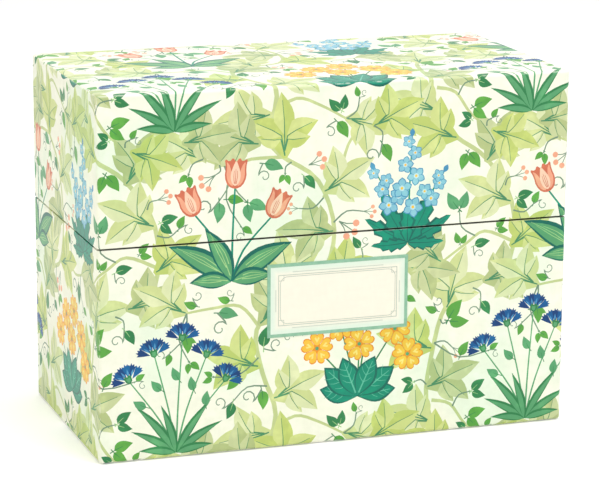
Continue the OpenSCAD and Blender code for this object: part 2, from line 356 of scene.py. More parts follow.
def coral_group(d, x, y, size):
    """Coral cups on bent stems, with a few broad leaves."""
    heads = [(-10.5, 19.5, 22), (1.0, 26.5, -3), (11.5, 17.5, -26)]
    leaves = ((46, 21, 6.6), (-48, 20, 6.6), (14, 17, 5.6), (-72, 12, 5.2), (76, 12, 5.0))
    stems(d, x, y, size, heads, 0.3, 0.5, "teal", 0.85, 0.6)
    for turn, length, width in leaves:
        d.place_leaf(x, y, turn, size)
        d.fill("teal_dark", blade(length, width, -length * 0.22, 9, 0.9))
        d.fill("leaf", blade(length * 0.94, width * 0.72, -length * 0.2, 9, 0.9), -0.25, 0.15)
        for off, start, stop in ((0, 0.1, 0.9), (-0.9, 0.25, 0.8), (0.9, 0.3, 0.72)):
            vein = [(off * 0.5, length * start), (off - length * 0.05, length * (start + stop) / 2),
                    (off * 0.4 - length * 0.2 * stop * stop, length * stop)]
            d.line("leaf_light", vein, 0.3, 0.1)
    for hx, hy, lean in heads:
        cup_bloom(d, x + hx * size, y + hy * size, lean, 0.98 * size)


def sky_spires(d, x, y, size):
    """Spires of small pale blue florets over toothed leaves."""
    spires = [(-10.5, 22.0, 24), (1.0, 31.0, -2), (11.0, 20.0, -28)]
    leaves = ((66, 15), (-68, 15), (36, 17), (-34, 17), (4, 13), (-98, 11), (98, 11))
    stems(d, x, y, size, spires, 0.4, 0.5, "teal", 0.8, 0.4)
    for turn, length in leaves:
        d.place_leaf(x, y, turn)
        toothed_leaf(d, length * size, length * 0.42 * size)
    for sx, sy, lean in spires:
        for k in range(5):
            t = 0.52 + 0.11 * k
            side = 1 if k % 2 else -1
            px = x + sx * (0.3 * t + 0.7 * t * t) * size + side * (2.3 - 0.35 * k) * size
            star_bloom(d, px, y + sy * t * size, 31 * k + lean, (1.12 - 0.1 * k) * size)
        d.place(x + sx * size, y + sy * size, lean, size)
        d.fill("sky_dark", blade(2.6, 1.6, 0, 5, 1.0))


# Root, middle and end of a twig's stem, and the room round its end. What twigs bear comes round in turn.
TWIGS = [
    (-6.3, 41.4, -5.2, 39.7, -3.4, 40.6, 7), (103.6, 60.4, 105, 59.7, 104.3, 58.3, 6.4),
    (56.1, 35.8, 57.5, 34.9, 58.5, 36.2, 6.3), (136.4, 70.6, 131.2, 74.1, 130.3, 80.3, 6.1),
    (41.6, 52.2, 40.7, 51.2, 41.8, 50.3, 6), (83.7, 79, 84.6, 80.1, 85.7, 79.3, 6),
    (48.6, 101.4, 47.9, 93.9, 52.7, 88.1, 6), (44.5, 101.2, 46.1, 94.9, 42.6, 89.3, 6),
    (58.1, 103.1, 57.1, 102.3, 58.1, 101.3, 6), (2.9, 3.3, 3.2, 4.7, 4.6, 4.5, 5.8),
    (59.8, 22.7, 58.4, 23.2, 57.8, 21.8, 5.8), (77.3, 58.5, 78.9, 57.6, 78.4, 55.9, 5.8),
    (4.1, 102.6, 2.7, 102.1, 3, 100.7, 5.8), (98, 112, 101.2, 109.7, 101.1, 105.8, 5.8),
    (85.7, 116.4, 84.2, 116, 84.4, 114.5, 5.8), (-1, 9, 1.4, 13, 6, 13.9, 5.1),
    (59.8, 22.7, 52.7, 23, 47.5, 18.3, 5.1), (42.7, 101.7, 43.1, 99.6, 41.4, 98.4, 5.1),
    (85.7, 4.4, 86.8, 4.7, 86.4, 5.8, 5), (5.9, 51.8, 8.7, 50.2, 9, 47, 5),
    (4.2, 68.9, 4.2, 67.3, 5.8, 66.9, 5), (20, 82, 20.5, 83.4, 21.9, 83.1, 5),
    (73.6, 98, 72.4, 97.5, 72.7, 96.2, 5), (73.6, 98, 73.2, 99.3, 74.5, 99.7, 5),
    (119, 17.9, 116.8, 19.9, 114, 19.2, 4.2), (62, 50.9, 67, 48.5, 68.9, 43.3, 4.2),
    (92, 63, 94.5, 65.6, 94, 69.1, 4.2), (5.3, 112.8, 5.3, 111.9, 4.3, 112, 4.2),
    (34.9, 51.5, 35.6, 52.2, 34.9, 53, 4.1), (17.4, 87.9, 18.3, 90.4, 20.8, 91, 4.1),
    (72.8, 56.7, 72.4, 51, 76.1, 46.7, 4), (124.7, 43.9, 123.6, 43.3, 122.8, 44.3, 4),
    (46.9, 52.6, 47.6, 53.4, 46.9, 54.1, 4), (13.5, 71.1, 13.3, 72.2, 14.4, 72.6, 4),
    (20.7, 78.8, 24.8, 77.9, 28.2, 80.4, 4), (-8.4, 32.9, -4.5, 33.3, -1.5, 30.8, 3.6),
    (31, 51, 28.2, 42.1, 31.9, 33.6, 3.6), (31, 51, 30.6, 43.1, 25, 37.4, 3.6),
    (107.3, 61.3, 106.7, 55.3, 110.3, 50.5, 3.6), (131.5, 67, 130.6, 67.1, 130.7, 68, 3.6),
    (47.3, 101.1, 45.1, 89.7, 50.6, 79.6, 3.6), (83.7, 79, 88.5, 82.7, 94.5, 82.2, 3.6),
    (37, 104, 33.3, 102.5, 31.8, 98.8, 3.6), (9.9, -2.5, 10.1, -0.7, 11.7, 0.1, 3.2),
    (88, 3, 91.8, 5.6, 92.7, 10.1, 3.2), (56.7, 33.2, 49.4, 27.5, 40.2, 27.7, 3.2),
    (-8.4, 32.9, 1.4, 26.9, 12.8, 28.5, 3.2), (80, 88, 76.2, 84.6, 71.1, 84.8, 3.2),
    (68.4, 101.1, 66.3, 99.6, 66.1, 97, 3.2),
]
BURDENS = ("leaves", "curl", "wide curl", "leaves", "curl", "berries")
# Inks of a small leaf and its stalk
LEAF_INKS = (("leaf", "leaf_dark"), ("grass", "leaf_dark"), ("leaf_dark", "leaf_light"))
# Stems up to the first length aren't drawn, and those beyond the second bear a leaf half way
HIDDEN_STEM, LONG_STEM = 3, 14

VINES = [
    [(58, -4), (63, 12), (58, 28), (56, 43), (66, 54), (79, 60), (84, 76), (78, 94), (64, 104), (58, 112)],
    [(-5, -4), (-11, 12), (-9, 30), (-4, 46), (8, 53), (20, 62), (20, 82), (10, 98), (-1, 106), (-5, 112)],
]
BRANCHES = [
    [(61, 6), (70, 11), (79, 8), (88, 3)],
    [(57, 44), (50, 52), (40, 52), (31, 51)],
    [(83, 66), (92, 63), (100, 60), (110, 62)],
    [(66, 103), (54, 103), (46, 101), (37, 104)],
    [(-9, 12), (-2, 10), (4, 2), (12, -4)],
    [(20, 68), (10, 72), (3, 68), (-6, 62)],
    [(10, 98), (16, 104), (22, 107), (30, 110)],
    [(80, 88), (86, 98), (90, 108), (98, 112)],
]
# Place, turn, length, mirrored, tone
LEAVES = [
    (61, 6, 96, 21, -1, 1), (62, 18, -66, 21, 1, 1), (57, 30, 70, 22, -1, 2), (57, 45, -40, 23, 1, 0),
    (68, 55, 10, 23, -1, 1), (80, 60, -78, 22, 1, 2), (84, 76, 84, 21, -1, 0), (80, 90, -58, 21, 1, 1),
    (66, 103, 2, 22, -1, 2), (57, 108, 74, 22, -1, 0),
    (-8, 4, 72, 21, -1, 1), (-11, 17, -68, 21, 1, 0), (-9, 31, 70, 22, -1, 2), (-4, 45, -16, 23, 1, 1),
    (10, 54, -74, 21, 1, 0), (20, 66, -52, 20, 1, 2), (20, 82, 64, 22, -1, 1), (10, 97, -32, 22, 1, 0),
    (-1, 106, 70, 21, -1, 2),
    (88, 3, -104, 20, -1, 1), (31, 51, 60, 21, -1, 1), (110, 62, -100, 21, 1, 0), (37, 104, 60, 20, -1, 1),
    (12, -4, -110, 19, 1, 2), (-6, 62, 50, 20, -1, 0), (30, 110, -80, 19, 1, 0), (98, 112, -64, 20, 1, 2),
]


def twig(d, burden, x, y, middle_x, middle_y, end_x, end_y, room):
    """A thin stem in a gap of the print, and what it bears."""
    heading = math.degrees(math.atan2(middle_x - end_x, end_y - middle_y))
    reach = math.hypot(end_x - x, end_y - y)
    length = 1.25 * room
    inks = LEAF_INKS[int(7 * room) % 3]
    if reach > HIDDEN_STEM:
        stem(d, [(x, y), (middle_x, middle_y), (end_x, end_y)], "tendril", 0.6, 0.4, steps=3)
    if burden == "berries":
        berries(d, end_x, end_y, heading, room / 5.5)
    else:
        small_leaf(d, end_x, end_y, heading + 38, length, *inks)
    if burden == "leaves":
        small_leaf(d, end_x, end_y, heading - 42, length * 0.9, *inks, -1)
    elif burden == "curl":
        curl(d, end_x, end_y, heading - 26, length, 1)
    elif burden == "wide curl":
        curl(d, end_x, end_y, heading - 52, length * 0.8, -1)
    if reach > LONG_STEM:
        small_leaf(d, middle_x, middle_y, heading + 62, 6.2, *inks)


def print_repeat():
    """Everything drawn in one repeat of the print."""
    d = Drawing()
    for points in VINES:
        stem(d, points, "vine", 1.7, 1.5)
    for points in BRANCHES:
        stem(d, points, "vine", 1.3, 0.8)
    for leaf in LEAVES:
        sage_leaf(d, *leaf)
    for k, row in enumerate(TWIGS):
        twig(d, BURDENS[k % len(BURDENS)], *row)
    blue_sprig(d, 27, 2, 1.2)
    yellow_clump(d, 93, 16, 1.2)
    coral_group(d, 47, 61, 1.22)
    sky_spires(d, 111, 70, 1.2)
    return d.shapes


def linear(colour):
    """The linear values of a colour given from 0 to 255 as a screen shows it."""
    return [((c / 255 + 0.055) / 1.055) ** 2.4 if c > 10.3 else c / 255 / 12.92 for c in colour]


INK_NAMES = list(INKS)
PAPER_INK = 0
INK_COLOURS = np.array([linear(INKS[name]) for name in INK_NAMES])
PRINT = [(INK_NAMES.index(ink), np.array(loop)) for ink, loop in print_repeat()]


# The printed paper. Its net is flat and in millimetres: u runs round the box from its front left corner, v is
# the height on the walls, runs on over the rims, and over the lid from the front.
NET_W, NET_D, THICK, WALL = (round(size / MM, 3) for size in (BOX_W, BOX_D, PAPER_T, WALL_T))
CORNERS = np.array([0, NET_W, NET_W + NET_D, 2 * NET_W + NET_D, 2 * (NET_W + NET_D)])
AROUND, BACK_MIDDLE = CORNERS[-1], (CORNERS[2] + CORNERS[3]) / 2
ROUNDING = EDGE_R / MM
# Fold lines across a rounded edge, as distances from it
ROUND_STEPS = [ROUNDING * (1 - math.tan(math.pi / 12 * k)) for k in range(4)]
# Distances below which points of the net are one, for the outlines, for the cuts and for the weld
SAME_POINT, SAME_CUT, WELD = 2e-3, 1e-4, 1.5e-3
# Normals are taken this share of the way into a triangle, from points this far apart on each side
INTO_TRIANGLE, NORMAL_STEP = 0.03, 0.002
# Tone left on the rims by the painted shade that darkens the seam in front; how far before the front corners
# it starts to come back, and over what length
SEAM_SHADE_TONE, SEAM_SHADE_SHORT, SEAM_SHADE_FADE = 0.28, 8.0, 18.0
# Room beside the inner hinge strip, and the hidden margin of print under the bottom sheet
STRIP_ROOM, HIDDEN_MARGIN = 0.05, 1.0
# Outer hinge strip: width and depth of its groove, distance and number of the folds beside it, and the band
# that is rubbed bare of ink, with its strength and its most
GROOVE_W, GROOVE_T, GROOVE_STEP, GROOVE_FOLDS = 0.45, 0.12 * MM, 0.25, 9
RUBBED_W, RUBBED, RUBBED_MOST = 0.35, 1.2, 0.8


def rectangle(u0, v0, u1, v1):
    return np.array([(u0, v0), (u1, v0), (u1, v1), (u0, v1)])


def line(u0, v0, u1, v1):
    return np.array([(u0, v0), (u1, v1)], float)


def level(v):
    """A line all round the box."""
    return line(0, v, AROUND, v)


def direction(start, end):
    """Length of a line of the net, and unit steps along and across it."""
    length = np.linalg.norm(end - start)
    along = (end - start) / length
    return length, along, np.array([-along[1], along[0]])


def inside(points, loop):
    """Which points lie inside a closed outline."""
    a, b = loop, np.roll(loop, -1, axis=0)
    x, y = points[:, :1], points[:, 1:]
    side = (b[:, 0] - a[:, 0]) * (y - a[:, 1]) - (x - a[:, 0]) * (b[:, 1] - a[:, 1])
    up = (a[:, 1] <= y) & (b[:, 1] > y) & (side > 0)
    down = (a[:, 1] > y) & (b[:, 1] <= y) & (side < 0)
    return (up.sum(1) - down.sum(1)) != 0


def repeats_over(low, high):
    """The print's shapes, in painting order, that reach into a part of the net."""
    shapes = []
    for ink, loop in PRINT:
        first = np.ceil((low - loop.max(0)) / REPEAT).astype(int)
        last = np.floor((high - loop.min(0)) / REPEAT).astype(int)
        for i in range(first[0], last[0] + 1):
            for j in range(first[1], last[1] + 1):
                shapes.append((ink, loop + REPEAT * (i, j)))
    return shapes


def crossings(shapes, start, end):
    """How far along a line of the net the outlines of the print cross or touch it."""
    length, along, across = direction(start, end)
    found = []
    for _, loop in shapes:
        x, y = (loop - start) @ along, (loop - start) @ across
        x2, y2 = np.roll(x, -1), np.roll(y, -1)
        cut = (y > 0) != (y2 > 0)
        found.extend((x + (x2 - x) * y / np.where(cut, y - y2, 1))[cut])
        found.extend(x[np.abs(y) < SAME_POINT])
    found = np.array(found)
    return found[(found > SAME_POINT) & (found < length - SAME_POINT)]


def cut_net(areas, holes, folds, shapes=(), extra=()):
    """Triangles of the net, cut along its folds and round its printed shapes, and their inks."""
    points, edges = [], []
    for loop in [*areas, *holes, *(loop for _, loop in shapes), *folds]:
        first, count = len(points), len(loop)
        points.extend(Vector(p) for p in loop)
        # Folds have two ends, and all other lines are closed
        edges.extend((first + k, first + (k + 1) % count) for k in range(count if count > 2 else 1))
    points.extend(Vector(p) for p in extra)
    made = delaunay_2d_cdt(points, edges, [], 0, SAME_CUT, False)
    net, triangles = np.array(made[0], float), np.array(made[2])
    centres = net[triangles].mean(1)
    keep = np.any([inside(centres, area) for area in areas], axis=0)
    for hole in holes:
        keep &= ~inside(centres, hole)
    triangles, centres = triangles[keep], centres[keep]
    inks = np.zeros(len(triangles), int)
    order = np.argsort(centres[:, 0])
    across = centres[order, 0]
    for ink, loop in shapes:
        least, most = loop.min(0), loop.max(0)
        near = order[np.searchsorted(across, least[0]):np.searchsorted(across, most[0])]
        near = near[(centres[near, 1] > least[1]) & (centres[near, 1] < most[1])]
        if len(near):
            inks[near[inside(centres[near], loop)]] = ink
    used, triangles = np.unique(triangles, return_inverse=True)
    return net[used], triangles.reshape(-1, 3), inks


def border_of(triangles, net, joined):
    """Edges with paper on one side only, apart from those joined to another edge."""
    edges = np.concatenate([triangles[:, [0, 1]], triangles[:, [1, 2]], triangles[:, [2, 0]]])
    pairs = edges.min(1) * len(net) + edges.max(1)
    _, index, count = np.unique(pairs, return_index=True, return_counts=True)
    edges = edges[index[count == 1]]
    free = np.ones(len(edges), bool)
    for start, end in joined:
        length, along, across = direction(start, end)
        ends = net[edges] - start
        reach, aside = ends @ along, np.abs(ends @ across)
        on = (aside < SAME_POINT) & (reach > -SAME_POINT) & (reach < length + SAME_POINT)
        free &= ~on.all(1)
    return edges[free]


def round_edges(points, closed, way):
    """Rounds the upright edges and those of the closed end."""
    core = points.copy()
    core[:, 0] = np.clip(core[:, 0], ROUNDING - NET_W / 2, NET_W / 2 - ROUNDING)
    core[:, 1] = np.clip(core[:, 1], ROUNDING - NET_D / 2, NET_D / 2 - ROUNDING)
    end = closed + way * ROUNDING
    core[:, 2] = np.maximum(core[:, 2], end) if way > 0 else np.minimum(core[:, 2], end)
    out = points - core
    length = np.linalg.norm(out, axis=1)
    reach = np.abs(out).max(1)
    return core + out * (reach / np.where(length > 0, length, 1))[:, None]


class TrayFold:
    """Where a point of the net lies once the paper is folded round a tray."""

    def __init__(self, closed, rim):
        self.closed, self.way = round(closed / MM, 3), math.copysign(1, rim - closed)
        self.depth = round(abs(rim - closed) / MM, 3)
        quarter = math.pi / 2 * THICK
        # Lengths of paper up to each fold over the rim, and to its turned-in end
        self.bends = np.cumsum([self.depth - THICK, quarter, WALL - 2 * THICK, quarter])
        self.end = self.height(self.bends[3] + TURN_IN / MM - THICK)

    def height(self, length):
        """Place on the net of a length of paper from the closed end."""
        return self.closed + self.way * length

    def profile(self, length, deep):
        """How far in from the wall's face, and from the closed end, a length of paper reaches."""
        outer = np.clip((length - self.bends[0]) / THICK, 0, math.pi / 2)
        inner = np.clip((length - self.bends[2]) / THICK, 0, math.pi / 2)
        inset = (
            np.maximum(-length, 0) + THICK * (1 - np.cos(outer) + np.sin(inner))
            + np.clip(length - self.bends[1], 0, WALL - 2 * THICK)
        )
        height = (
            np.clip(length, 0, self.bends[0]) + THICK * (np.sin(outer) - 1 + np.cos(inner))
            - np.maximum(length - self.bends[3], 0)
        )
        inset = np.where(length < 0, np.maximum(inset, deep), np.clip(inset, deep, WALL - deep))
        return inset, np.clip(height, deep, self.depth - deep)

    def seam_shade(self, net):
        """Tone that the print keeps; painted shade darkens the rims in front, so that the seam between lid
        and base shows dark.
        """
        length = self.way * (net[:, 1] - self.closed)
        over = (length > (self.bends[0] + self.bends[1]) / 2) & (length < self.bends[3])
        from_middle = np.abs(net[:, 0] - NET_W / 2)
        from_middle = np.minimum(from_middle, AROUND - from_middle)
        # The painted shade on the rims fades out past the front corners
        unshaded = (from_middle - NET_W / 2 + SEAM_SHADE_SHORT) / SEAM_SHADE_FADE
        return np.where(over, np.clip(SEAM_SHADE_TONE + (1 - SEAM_SHADE_TONE) * unshaded, SEAM_SHADE_TONE, 1.0), 1.0)

    def place(self, net, deep=0):
        """Points in metres, that far below the printed face."""
        u, v = net[:, 0], net[:, 1]
        inset, height = self.profile(self.way * (v - self.closed), deep)
        wall = np.clip(np.searchsorted(CORNERS, u, side="right") - 1, 0, 3)
        length = np.diff(CORNERS)[wall]
        along = (u - CORNERS[wall] - length / 2) * (1 - 2 * inset / length)
        out = np.where(wall % 2 == 0, NET_D / 2, NET_W / 2) - inset
        x = np.choose(wall, [along, out, -along, -out])
        y = np.choose(wall, [-out, along, out, -along])
        z = self.closed + self.way * height
        if self.way < 0:
            # The top of the lid carries on from its front wall
            over = v > self.closed
            x = np.where(over, (u - NET_W / 2) * (1 - 2 * deep / NET_W), x)
            y = np.where(over, (v - self.closed - NET_D / 2) * (1 - 2 * deep / NET_D), y)
            z = np.where(over, self.closed - deep, z)
        return round_edges(np.stack([x, y, z], 1), self.closed, self.way) * MM


def face_normals(place, net, triangles):
    """Smooth normals at each triangle's corners, taken a little way into it."""
    corners = net[triangles]
    centres = corners.mean(1, keepdims=True)
    at = (corners * (1 - INTO_TRIANGLE) + centres * INTO_TRIANGLE).reshape(-1, 2)
    across, up = (place(at + step) - place(at - step) for step in np.eye(2) * NORMAL_STEP)
    normals = np.cross(across, up)
    return normals / np.linalg.norm(normals, axis=1, keepdims=True)


def paper_piece(
    name, place, areas, holes, folds, joined, extra=(), seam_shade=None, rubbed=None, hidden_below=-math.inf,
):
    """A closed sheet of printed paper: its printed face, its plain back and its cut edges."""
    low = np.min([area.min(0) for area in areas], axis=0)
    high = np.max([area.max(0) for area in areas], axis=0)
    shapes = repeats_over(np.maximum(low, (-math.inf, hidden_below)), high)
    net, triangles, inks = cut_net(areas, holes, folds, shapes, extra)
    border = border_of(triangles, net, joined)
    back_net, back, _ = cut_net(areas, holes, folds, (), net[np.unique(border)])
    edge = net[border.ravel()]
    parts = [place(net), place(back_net, THICK), place(edge), place(edge, THICK)]
    _, first_back, first, second = np.cumsum([0, *(len(part) for part in parts[:-1])])
    rows = np.arange(len(border)) * 2
    strips = np.concatenate([
        np.stack([first + rows + 1, first + rows, second + rows], 1),
        np.stack([first + rows + 1, second + rows, second + rows + 1], 1),
    ])
    points = np.concatenate(parts)
    faces = np.concatenate([triangles, back[:, ::-1] + first_back, strips])
    colours = INK_COLOURS[np.concatenate([inks, np.full(len(back) + len(strips), PAPER_INK)])]
    front, centres = colours[:len(inks)], net[triangles].mean(1)
    # Painted shade on the front rims, which darkens the seam between lid and base
    if seam_shade:
        front *= seam_shade(centres)[:, None]
    if rubbed:
        front += (INK_COLOURS[PAPER_INK] - front) * rubbed(centres)[:, None]
    corners = points[faces[len(triangles):]]
    flat = np.cross(corners[:, 1] - corners[:, 0], corners[:, 2] - corners[:, 0])
    flat /= np.maximum(np.linalg.norm(flat, axis=1, keepdims=True), 1e-20)
    normals = np.concatenate([face_normals(place, net, triangles), np.repeat(flat, 3, axis=0)])
    return sheet_mesh(name, points, faces, colours, normals)


def sheet_mesh(name, points, faces, colours, normals):
    """A mesh whose faces carry their ink, welded along its joins."""
    mesh = bpy.data.meshes.new(name)
    mesh.from_pydata(points.tolist(), [], faces.tolist())
    ink = mesh.attributes.new("ink", "FLOAT_COLOR", "CORNER")
    bend = 1 - np.abs(normals).max(1, keepdims=True)
    ink.data.foreach_set("color", np.concatenate([np.repeat(colours, 3, axis=0), bend], axis=1).ravel())
    stored = mesh.attributes.new("smooth_normal", "FLOAT_VECTOR", "CORNER")
    stored.data.foreach_set("vector", normals.ravel())
    shell = bmesh.new()
    shell.from_mesh(mesh)
    bmesh.ops.remove_doubles(shell, verts=shell.verts, dist=WELD * MM)
    shell.to_mesh(mesh)
    shell.free()
    kept = np.zeros(len(mesh.loops) * 3)
    mesh.attributes["smooth_normal"].data.foreach_get("vector", kept)
    mesh.attributes.remove(mesh.attributes["smooth_normal"])
    mesh.polygons.foreach_set("use_smooth", np.ones(len(mesh.polygons), bool))
    mesh.normals_split_custom_set(kept.reshape(-1, 3).tolist())
    piece = bpy.data.objects.new(name, mesh)
    bpy.context.scene.collection.objects.link(piece)
    return piece


def tray_folds(fold, start):
    """Fold lines round a tray, across its rounded edges and over its rim."""
    steps = [*ROUND_STEPS, THICK]
    upright = {corner + side * step for corner in CORNERS for side in (-1, 1) for step in steps}
    folds = [line(u, start, u, fold.end) for u in sorted(upright) if 0 < u < AROUND]
    arcs = [a + THICK * math.pi / 4 for a in (fold.bends[0], fold.bends[2])]
    levels = [fold.height(s) for s in (*steps, *fold.bends, *arcs)]
    return folds + [level(v) for v in levels]


def hinge_window(fold):
    """Hole in the back of the net, where the inner hinge strip lies in place of the wrap."""
    strip_low, strip_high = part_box("inner_hinge_base_leaf")
    half = strip_high.x / MM + STRIP_ROOM
    wide = half / (1 - 2 * WALL / NET_W)
    reach = (strip_high.z - strip_low.z) / MM
    up, over, down = (fold.height(s) for s in (fold.bends[0], fold.bends[3], fold.bends[3] + reach - THICK))
    outline = [(-half, up), (half, up), (wide, over), (wide, down), (-wide, down), (-wide, over)]
    return np.array([(BACK_MIDDLE + u, v) for u, v in outline])


def base_paper():
    """The wrap of the base, turned in over its rim and under its floor."""
    fold = TrayFold(wrap_low.z, BASE_RIM)
    start = fold.closed - UNDER_TURN_IN / MM
    folds = tray_folds(fold, start)
    folds += [level(fold.closed - step) for step in (*ROUND_STEPS[1:], THICK)]
    joined = [line(u, start, u, fold.end) for u in (0, AROUND)]
    area = rectangle(0, start, AROUND, fold.end)
    # The bottom sheet covers the paper that is turned in under the floor, but for a margin
    hidden = fold.closed - (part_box("base_bottom_sheet")[0].x - wrap_low.x) / MM - HIDDEN_MARGIN
    return paper_piece(
        "base_wrap_print", fold.place, [area], [hinge_window(fold)], folds, joined,
        seam_shade=fold.seam_shade, hidden_below=hidden,
    )


def lid_paper():
    """The wrap of the lid, turned in over its rim."""
    fold = TrayFold(lid_high.z, LID_RIM)
    top, end = fold.closed, fold.end
    back = top + NET_D
    folds = tray_folds(fold, top)
    for step in [*ROUND_STEPS[:-1], THICK]:
        folds += [line(u, top, u, back) for u in (step, NET_W - step)]
        folds += [line(0, v, NET_W, v) for v in (top + step, back - step)]
    # The side and back edges of the top, each beside the stretch of wall that it joins
    edges = [line(NET_W, top, NET_W, back), line(NET_W, back, 0, back), line(0, back, 0, top)]
    walls = [line(CORNERS[k], top, CORNERS[k + 1], top) for k in (1, 2, 3)]
    joined = [line(u, end, u, top) for u in (0, AROUND)] + edges + walls
    shapes = repeats_over(np.array([0, end]), np.array([AROUND, back]))
    extra = []
    for here, there in [*zip(edges, walls), *zip(walls, edges)]:
        _, along, _ = direction(*there)
        extra.extend(there[0] + along * t for t in crossings(shapes, *here))
    areas = [rectangle(0, end, AROUND, top), rectangle(0, top, NET_W, back)]
    return paper_piece(
        "lid_wrap_print", fold.place, areas, [hinge_window(fold)], folds, joined, extra, fold.seam_shade,
    )


def hinge_paper():
    """The outer hinge strip, one sheet over the seam, with a groove along its crease."""
    low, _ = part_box("outer_hinge_base_leaf")
    _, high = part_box("outer_hinge_lid_leaf")
    thickness = high.y - low.y
    seam = SEAM / MM

    def place(net, deep=0):
        groove = GROOVE_T * np.exp(-((net[:, 1] - seam) / GROOVE_W) ** 2)
        y = high.y - groove - thickness * deep / THICK + groove * (deep > 0)
        return np.stack([(BACK_MIDDLE - net[:, 0]) * MM, y, net[:, 1] * MM], 1)

    def rubbed(net):
        """How bare of ink the fold has worn the paper along the crease."""
        return np.clip(RUBBED * np.exp(-((net[:, 1] - seam) / RUBBED_W) ** 2), 0, RUBBED_MOST)

    area = rectangle(BACK_MIDDLE - high.x / MM, low.z / MM, BACK_MIDDLE + high.x / MM, high.z / MM)
    levels = [seam + side * GROOVE_STEP * k for k in range(GROOVE_FOLDS) for side in (-1, 1)]
    folds = [line(area[0, 0], v, area[1, 0], v) for v in levels]
    return paper_piece("outer_hinge_print", place, [area], [], folds, [], rubbed=rubbed)


def operator(operation, order=1):
    """A method that adds a Math node; order -1 is for reflected operators."""
    def method(value, *others):
        inputs = dict(enumerate((value, *others)[::order]))
        return value.finish.node("ShaderNodeMath", {"operation": operation}, inputs)
    return method


class Value:
    """An output of a shader node, whose arithmetic adds Math nodes."""

    def __init__(self, finish, socket):
        self.finish, self.socket = finish, socket

    __add__ = __radd__ = operator("ADD")
    __mul__ = __rmul__ = operator("MULTIPLY")
    __sub__, __rsub__ = operator("SUBTRACT"), operator("SUBTRACT", -1)
    __lt__, __gt__ = operator("LESS_THAN"), operator("GREATER_THAN")
    least, most, size = operator("MINIMUM"), operator("MAXIMUM"), operator("ABSOLUTE")
    sine, root, fraction = operator("SINE"), operator("SQRT"), operator("FRACT")


class Nodes:
    """The nodes of a material or of the world."""

    def __init__(self, owner, shader):
        self.owner = owner
        owner.use_nodes = True
        self.tree = owner.node_tree
        self.shader = self.tree.nodes[shader]

    def node(self, kind, settings=None, inputs=None, output=0):
        """Adds a node: its settings first, then the values or links of its sockets."""
        node = self.tree.nodes.new(kind)
        for key, setting in (settings or {}).items():
            setattr(node, key, setting)
        for key, value in (inputs or {}).items():
            self.set(node.inputs[key], value)
        return Value(self, node.outputs[output])

    def set(self, socket, value):
        if isinstance(value, Value):
            self.tree.links.new(value.socket, socket)
        else:
            socket.default_value = value


class Finish(Nodes):
    """The nodes of a material, and the looks that papers and boards share."""

    def __init__(self, name):
        super().__init__(bpy.data.materials.new(name), "Principled BSDF")
        self.places = self.node("ShaderNodeTexCoord", output="Object")
        split = self.node("ShaderNodeSeparateXYZ", inputs={0: self.places}).socket.node
        self.x, self.y, self.z = (Value(self, socket) for socket in split.outputs)

    def noise(self, scale, detail, roughness=0.55, at=None):
        inputs = {"Vector": at or self.places, "Scale": scale, "Detail": detail, "Roughness": roughness}
        return self.node("ShaderNodeTexNoise", inputs=inputs)

    def stretched(self, x, y, z):
        """Object coordinates scaled along each axis, for fibres and layers."""
        return self.node("ShaderNodeMapping", inputs={"Vector": self.places, "Scale": (x, y, z)})

    def fibres(self, scale=900.0):
        """Fine paper fibres along X and along Z."""
        long_x = self.noise(scale, 4, at=self.stretched(1, 0.3, 0.3))
        long_z = self.noise(scale * 0.8, 4, at=self.stretched(0.3, 1, 1))
        return long_x * 0.5 + long_z * 0.5

    def between(self, value, low, high, to_low=0.0, to_high=1.0):
        """A value carried smoothly from one range to another."""
        inputs = {"Value": value, "From Min": low, "From Max": high, "To Min": to_low, "To Max": to_high}
        return self.node("ShaderNodeMapRange", {"interpolation_type": "SMOOTHSTEP"}, inputs)

    def patches(self, scale, detail, low, high, to_low=0.0, to_high=1.0):
        """Noise between two levels."""
        return self.between(self.noise(scale, detail), low, high, to_low, to_high)

    def mix(self, factor, first, second, how="MIX"):
        settings = {"data_type": "RGBA", "blend_type": how}
        return self.node("ShaderNodeMix", settings, {0: factor, 6: first, 7: second}, output=2)

    def darken(self, colour, tone):
        """A colour times a tone from 0 to 1."""
        shade = self.node("ShaderNodeCombineColor", inputs={0: tone, 1: tone, 2: tone})
        return self.mix(1.0, colour, shade, "MULTIPLY")

    def done(self, colour, roughness, height=None, relief=0.0, specular=0.5, **constants):
        """Joins the finish to its shader, with a height that stands out by its relief."""
        self.shader.inputs["Specular IOR Level"].default_value = specular
        self.set(self.shader.inputs["Base Color"], colour)
        self.set(self.shader.inputs["Roughness"], roughness)
        if height is not None:
            bump = self.node("ShaderNodeBump", inputs={"Height": height, "Distance": relief, "Strength": 1.0})
            self.set(self.shader.inputs["Normal"], bump)
        for key, value in constants.items():
            self.shader.inputs[key.replace("_", " ")].default_value = value
        return self.owner


def tint(red, green, blue):
    """A colour for a socket, from 0 to 255 as a screen shows it."""
    return (*linear((red, green, blue)), 1.0)


